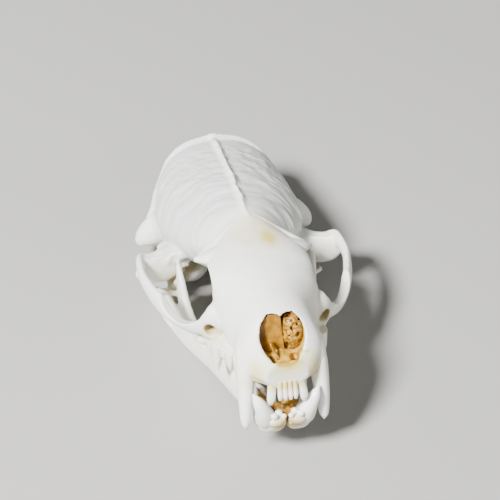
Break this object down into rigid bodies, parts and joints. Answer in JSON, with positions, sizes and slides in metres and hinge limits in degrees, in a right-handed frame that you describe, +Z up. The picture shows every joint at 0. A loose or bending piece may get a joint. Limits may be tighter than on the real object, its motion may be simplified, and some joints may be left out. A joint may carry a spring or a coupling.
{
  "type": "mink skull",
  "caption": "Bleached skull of a mink with its lower jaw in place, mouth a little open, resting on its jaw and the back of its base.",
  "frame": {"origin": "on the table, under the middle of the skull's length and width", "axes": "+Y from the nose to the back of the head, +X to the animal's left, +Z up from the table"},
  "size_m": [0.0392, 0.0688, 0.0278],
  "materials": {
    "skull_bone": "satin",
    "jaw_bone": "satin"
  },
  "bodies": {
    "root": {"cranium": "skull_bone", "jaw_left": "jaw_bone", "jaw_right": "jaw_bone"}
  },
  "joints": []
}
